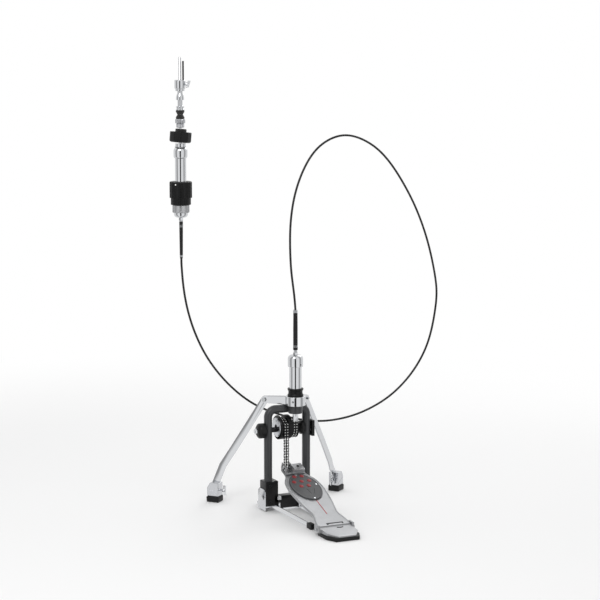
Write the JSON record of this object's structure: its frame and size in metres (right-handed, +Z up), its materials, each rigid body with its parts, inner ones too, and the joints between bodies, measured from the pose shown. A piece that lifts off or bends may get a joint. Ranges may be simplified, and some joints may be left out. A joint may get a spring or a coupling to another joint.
{
  "type": "hi hat stand",
  "caption": "Cable hi-hat without cymbals: chain-driven footboard base on two legs, sleeved cable, and a separate pull-rod head with cymbal seat and clutch.",
  "frame": {"origin": "on the floor, on the underside of the front floor plate, midway between the hoop frame's uprights", "axes": "+Z up; +X to the player's right, along the axle; -Y towards the heel of the footboard"},
  "size_m": [0.6841, 0.4771, 1.0457],
  "materials": {
    "chrome": "polished chrome plate",
    "graphite_paint": "satin graphite powder coat",
    "black_plastic": "black satin",
    "rubber": "matt black rubber",
    "cast_aluminium": "bead-blasted cast aluminium",
    "knurled_steel": "knurled satin nickel",
    "felt": "black felt",
    "chain_steel": "plated steel"
  },
  "bodies": {
    "root": {"base_tube": "chrome", "bearing_clamp": "black_plastic", "cable": "rubber", "crossbar": "black_plastic", "floor_plate": "chrome", "head_collar": "chrome", "head_dome": "chrome", "head_tube": "chrome", "heel_base": "rubber", "heel_plate": "cast_aluminium", "hinge_pin": "chrome", "hoop_frame": "graphite_paint", "left_bearing": "black_plastic", "left_casting": "chrome", "left_side_bar": "chrome", "left_socket": "black_plastic", "lock_collar": "black_plastic", "lower_boot": "rubber", "lower_nipple": "chrome", "right_bearing": "black_plastic", "right_casting": "chrome", "right_side_bar": "chrome", "right_socket": "black_plastic", "tube_cap": "chrome", "upper_boot": "rubber"},
    "footboard": {"footboard": "cast_aluminium", "traction_pad": "rubber", "toe_bracket": "cast_aluminium"},
    "axle": {"axle": "black_plastic", "cam": "black_plastic", "sprocket": "black_plastic"},
    "drive_chain": {"drive_chain": "chain_steel"},
    "lower_rod": {"pull_rod": "chrome", "pull_chain": "chain_steel", "return_spring": "chain_steel"},
    "upper_rod": {"upper_rod": "chrome", "head_spring": "chain_steel"},
    "leg_collar": {"leg_collar": "chrome", "left_leg_bolt": "chrome", "right_leg_bolt": "chrome"},
    "left_leg": {"left_leg": "chrome", "left_foot_bracket": "chrome", "left_rubber_foot": "rubber"},
    "right_leg": {"right_leg": "chrome", "right_foot_bracket": "chrome", "right_rubber_foot": "rubber"},
    "left_foot_screw": {"left_foot_screw": "chrome"},
    "right_foot_screw": {"right_foot_screw": "chrome"},
    "left_spur": {"left_spur": "chrome"},
    "right_spur": {"right_spur": "chrome"},
    "tension_sleeve": {"tension_sleeve": "black_plastic"},
    "tuning_ring": {"tuning_ring": "knurled_steel"},
    "seat": {"seat_cup": "black_plastic", "seat_felt": "felt"},
    "clutch": {"clutch_tube": "chrome", "clutch_nuts": "chrome", "lower_felt": "felt", "upper_felt": "felt", "clutch_body": "chrome"},
    "clutch_screw": {"clutch_screw": "chrome"}
  },
  "joints": [
    {"name": "footboard_press", "type": "hinge", "parent": "root", "child": "footboard", "pos_m": [0, -0.252, 0.0145], "axis": [-1, 0, 0], "range_deg": [0, 9.4], "stiffness_Nm_per_rad": 8, "springref_deg": -17.19},
    {"name": "axle_turn", "type": "hinge", "parent": "root", "child": "axle", "pos_m": [0, 0, 0.19], "axis": [1, 0, 0], "range_deg": [0, 82.5]},
    {"name": "chain_pull", "type": "slide", "parent": "root", "child": "drive_chain", "axis": [0, 0, -1], "range_m": [0, 0.0375]},
    {"name": "lower_rod_pull", "type": "slide", "parent": "root", "child": "lower_rod", "axis": [0, 0, -1], "range_m": [0, 0.029], "deforming": ["return_spring"]},
    {"name": "upper_rod_pull", "type": "slide", "parent": "root", "child": "upper_rod", "axis": [0, 0, -1], "range_m": [0, 0.029], "deforming": ["head_spring"]},
    {"name": "leg_swivel", "type": "hinge", "parent": "root", "child": "leg_collar", "pos_m": [0.012, -0.02, 0.26], "axis": [0, 0, 1], "range_deg": [-8, 10]},
    {"name": "left_leg_fold", "type": "hinge", "parent": "leg_collar", "child": "left_leg", "pos_m": [-0.03915, 0.03782, 0.2555], "axis": [0.749, 0.6626, 0], "range_deg": [0, 40]},
    {"name": "right_leg_fold", "type": "hinge", "parent": "leg_collar", "child": "right_leg", "pos_m": [0.05273, 0.01217, 0.2555], "axis": [0.6198, -0.7848, 0], "range_deg": [0, 10]},
    {"name": "left_foot_screw_turn", "type": "hinge", "parent": "left_leg", "child": "left_foot_screw", "pos_m": [-0.1139, 0.1223, 0.0283], "axis": [0.6626, -0.749, 0], "range_deg": [-180, 180]},
    {"name": "right_foot_screw_turn", "type": "hinge", "parent": "right_leg", "child": "right_foot_screw", "pos_m": [0.16111, 0.09776, 0.0283], "axis": [-0.7848, -0.6198, 0], "range_deg": [-180, 180]},
    {"name": "left_spur_lift", "type": "slide", "parent": "root", "child": "left_spur", "axis": [0, 0, 1], "range_m": [0, 0.01]},
    {"name": "right_spur_lift", "type": "slide", "parent": "root", "child": "right_spur", "axis": [0, 0, 1], "range_m": [0, 0.01]},
    {"name": "tension_sleeve_turn", "type": "hinge", "parent": "root", "child": "tension_sleeve", "pos_m": [-0.224, 0.09, 0.74], "axis": [0, 0, 1], "continuous": true},
    {"name": "tuning_ring_turn", "type": "hinge", "parent": "root", "child": "tuning_ring", "pos_m": [-0.224, 0.09, 0.7], "axis": [0, 0, 1], "continuous": true},
    {"name": "seat_tilt", "type": "hinge", "parent": "root", "child": "seat", "pos_m": [-0.224, 0.09, 0.8622], "axis": [0, 1, 0], "range_deg": [-10, 0]},
    {"name": "clutch_lift", "type": "slide", "parent": "root", "child": "clutch", "axis": [0, 0, 1], "range_m": [0, 0.04]},
    {"name": "clutch_screw_turn", "type": "hinge", "parent": "clutch", "child": "clutch_screw", "pos_m": [-0.224, 0.09, 0.9852], "axis": [0.8192, -0.5736, 0], "range_deg": [-180, 180]}
  ],
  "couplings": [
    {"joint": "axle_turn", "follows": "footboard_press", "ratio": 8.6923},
    {"joint": "chain_pull", "follows": "footboard_press", "m_per_rad": 0.226},
    {"joint": "lower_rod_pull", "follows": "footboard_press", "m_per_rad": 0.17385},
    {"joint": "upper_rod_pull", "follows": "footboard_press", "m_per_rad": 0.17385}
  ]
}
